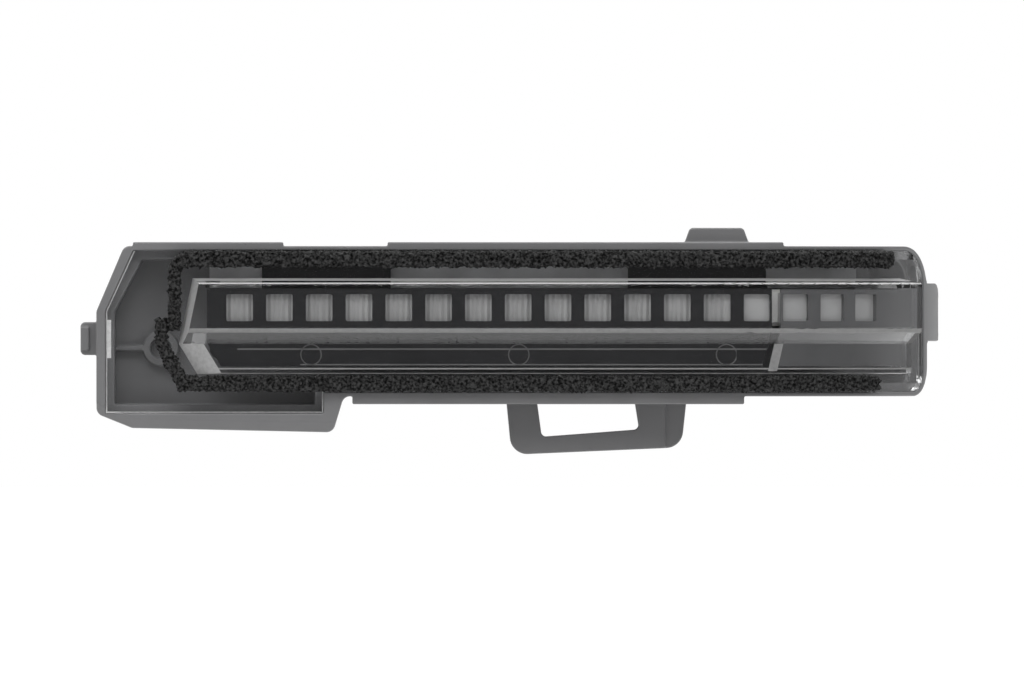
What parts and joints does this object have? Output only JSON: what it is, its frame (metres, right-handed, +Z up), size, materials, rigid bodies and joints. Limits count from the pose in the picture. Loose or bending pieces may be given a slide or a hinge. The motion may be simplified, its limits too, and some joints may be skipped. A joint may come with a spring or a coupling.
{
  "type": "mirror light",
  "caption": "Long turn-signal lamp for a car's door mirror: clear lens over a row of LED windows, foam strips, a wrap at one end, and tabs, a clip and a loop to hold it.",
  "frame": {"origin": "middle of the opening in the fixing loop, on the plane of the flat back", "axes": "+X along the lamp towards its wrap, +Y out of the flat back, +Z up; the light shines to -Y"},
  "size_m": [0.1981, 0.0471, 0.0521],
  "materials": {
    "housing": "glossy mid-grey moulding",
    "lens": "clear polished moulding",
    "black_mask": "black moulding",
    "grey_mask": "dark grey moulding",
    "diffuser": "milky moulding with flutes",
    "white_plastic": "white matt moulding",
    "led": "LED package",
    "flex": "white flexible circuit",
    "carrier": "bare pressing",
    "steel": "zinc plated",
    "board": "black circuit board",
    "chip": "black package",
    "capacitor": "tan ceramic",
    "amber_film": "amber film",
    "pin": "plated pins",
    "vent": "breathing membrane",
    "foam": "black open-cell foam"
  },
  "bodies": {
    "root": {"housing": "housing", "lens": "lens", "main_mask": "black_mask", "side_mask": "grey_mask", "main_diffuser": "diffuser", "side_diffuser": "diffuser", "light_cells": "white_plastic", "leds": "led", "led_strip": "flex", "strip_carrier": "carrier", "carrier_screws": "steel", "driver_board": "board", "board_screws": "steel", "driver_chip": "chip", "board_resistors": "chip", "board_capacitors": "capacitor", "protection_diode": "chip", "ribbon_connector": "white_plastic", "ribbon_tail": "amber_film", "socket_pins": "pin", "vent_patch": "vent", "upper_foam": "foam", "lower_foam": "foam"}
  },
  "joints": []
}
